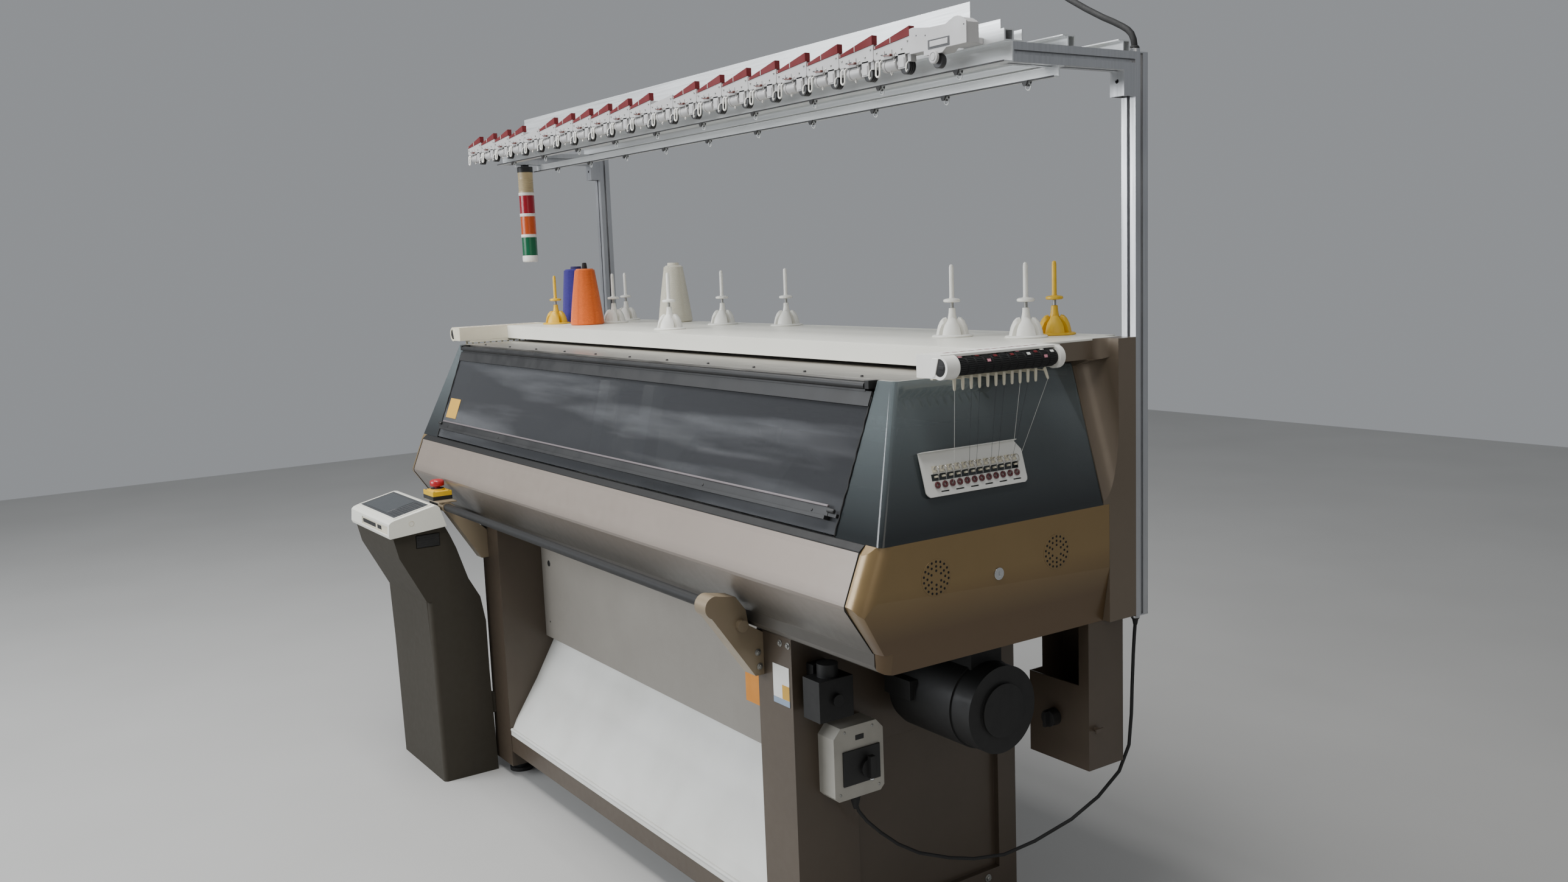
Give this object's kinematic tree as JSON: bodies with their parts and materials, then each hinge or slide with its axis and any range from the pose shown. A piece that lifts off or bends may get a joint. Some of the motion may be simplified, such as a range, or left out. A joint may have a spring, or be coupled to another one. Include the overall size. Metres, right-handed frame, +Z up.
{
  "type": "flat knitting machine",
  "caption": "Computer-controlled flat knitting machine with smoked covers, yarn gantry with tension units, side feed units, console, start bar and fabric chute.",
  "frame": {"origin": "on the floor, under the middle of the whole machine", "axes": "+X along the machine to the end with the isolator and motor, -Y to the front with the console and start bar, +Z up"},
  "size_m": [2.68, 1.057, 2.2926],
  "materials": {
    "bronze_paint": "satin",
    "gold_paint": "satin",
    "champagne_paint": "satin",
    "cream_paint": "satin",
    "white_paint": "satin",
    "grey_paint": "satin",
    "black_paint": "satin",
    "cream_bronze": "satin",
    "dark_iron": "matt",
    "bed_steel": "ground",
    "brushed_strip": "brushed",
    "aluminium": "anodised",
    "white_rail": "clear anodised",
    "lock_chrome": "polished",
    "smoked_pane": "smoked",
    "black_rubber": "matt",
    "black_plastic": "matt",
    "white_plastic": "matt",
    "cream_plastic": "matt",
    "grey_plastic": "matt",
    "tan_plastic": "matt",
    "maroon_plastic": "glossy",
    "red_plastic": "glossy",
    "yellow_plastic": "glossy",
    "lens_plastic": "glossy",
    "display_plastic": "glossy",
    "orange_yarn": "wound yarn"
  },
  "bodies": {
    "machine": {"leg_left": "bronze_paint", "leg_right": "bronze_paint", "levelling_feet": "black_rubber", "base_beams": "bronze_paint", "bed_beam": "dark_iron", "front_needle_bed": "bed_steel", "rear_needle_bed": "bed_steel", "bed_rails": "bed_steel", "drive_belt": "black_rubber", "motor_and_valve": "black_paint", "fascia": "champagne_paint", "end_cap_left": "gold_paint", "end_cap_right": "gold_paint", "cover_hinge": "black_paint", "side_cover_left": "smoked_pane", "side_cover_right": "smoked_pane", "top_strip": "brushed_strip", "table": "cream_paint", "end_frame_left": "bronze_paint", "end_frame_right": "bronze_paint", "rear_panel": "bronze_paint", "side_tension_left": "cream_plastic", "side_tension_right": "white_plastic", "tension_fingers": "cream_plastic", "guide_plates": "white_paint", "guide_eyelets": "maroon_plastic", "gantry_posts": "aluminium", "gantry_arms": "aluminium", "overhead_rails": "white_rail", "tension_units": "grey_plastic", "red_flags": "red_plastic", "signal_tower": "tan_plastic", "tower_lenses": "lens_plastic", "cone_holders": "white_plastic", "yarn_cones": "orange_yarn", "bar_brackets": "cream_bronze", "estop_box": "yellow_plastic", "console_pedestal": "bronze_paint", "console_head": "cream_plastic", "console_display": "display_plastic", "shield_panel": "grey_paint", "chute": "white_paint", "switch_box": "grey_plastic", "rear_box": "gold_paint", "supply_cable": "black_rubber", "switch_lead": "black_rubber"},
    "carriage": {"carriage": "cream_paint"},
    "drive_pulley": {"drive_pulley": "aluminium"},
    "idler_pulley": {"idler_pulley": "aluminium"},
    "yarn_carrier_left": {"yarn_carrier_left": "cream_plastic"},
    "yarn_carrier_right": {"yarn_carrier_right": "cream_plastic"},
    "takedown_roller": {"takedown_roller": "black_rubber"},
    "front_cover": {"front_cover": "smoked_pane", "cover_handle": "black_plastic"},
    "start_bar": {"start_bar": "black_paint"},
    "estop_button": {"estop_button": "red_plastic"},
    "feed_roller_right": {"feed_roller_right": "black_rubber"},
    "switch_lever": {"switch_lever": "black_plastic"},
    "rear_knob": {"rear_knob": "black_plastic"},
    "key_lock": {"key_lock": "lock_chrome"}
  },
  "joints": [
    {"name": "carriage_slide", "type": "slide", "parent": "machine", "child": "carriage", "axis": [1, 0, 0], "range_m": [-0.78, 0.78]},
    {"name": "drive_pulley_turn", "type": "hinge", "parent": "machine", "child": "drive_pulley", "pos_m": [1.0875, 0.2875, 1.19], "axis": [0, 1, 0], "range_deg": [-1120, 1120]},
    {"name": "idler_pulley_turn", "type": "hinge", "parent": "machine", "child": "idler_pulley", "pos_m": [-1.0875, 0.2875, 1.19], "axis": [0, 1, 0], "range_deg": [-1120, 1120]},
    {"name": "carrier_left_slide", "type": "slide", "parent": "machine", "child": "yarn_carrier_left", "axis": [1, 0, 0], "range_m": [-0.45, 1.45]},
    {"name": "carrier_right_slide", "type": "slide", "parent": "machine", "child": "yarn_carrier_right", "axis": [1, 0, 0], "range_m": [-1.45, 0.45]},
    {"name": "takedown_turn", "type": "hinge", "parent": "machine", "child": "takedown_roller", "pos_m": [0, 0.0475, 0.93], "axis": [1, 0, 0], "continuous": true},
    {"name": "cover_hinge_turn", "type": "hinge", "parent": "machine", "child": "front_cover", "pos_m": [0, -0.1365, 1.426], "axis": [-1, 0, 0], "range_deg": [0, 100]},
    {"name": "start_bar_turn", "type": "hinge", "parent": "machine", "child": "start_bar", "pos_m": [0, -0.3325, 0.93], "axis": [1, 0, 0], "range_deg": [-15, 15], "stiffness_Nm_per_rad": 6},
    {"name": "estop_press", "type": "slide", "parent": "machine", "child": "estop_button", "axis": [0, 0, 1], "range_m": [-0.005, 0], "stiffness_N_per_m": 2500},
    {"name": "feed_roller_turn", "type": "hinge", "parent": "machine", "child": "feed_roller_right", "pos_m": [1.316, 0.0705, 1.468], "axis": [0, 1, 0], "continuous": true},
    {"name": "isolator_turn", "type": "hinge", "parent": "machine", "child": "switch_lever", "pos_m": [0.986, -0.0465, 0.536], "axis": [1, 0, 0], "range_deg": [0, 90]},
    {"name": "rear_knob_turn", "type": "hinge", "parent": "machine", "child": "rear_knob", "pos_m": [1.1705, 0.3425, 0.615], "axis": [0, 1, 0], "range_deg": [0, 270]},
    {"name": "key_turn", "type": "hinge", "parent": "machine", "child": "key_lock", "pos_m": [1.2975, 0.0635, 1.026], "axis": [1, 0, 0], "range_deg": [0, 90]}
  ],
  "couplings": [
    {"joint": "drive_pulley_turn", "follows": "carriage_slide", "rad_per_m": 25},
    {"joint": "idler_pulley_turn", "follows": "carriage_slide", "rad_per_m": 25}
  ]
}
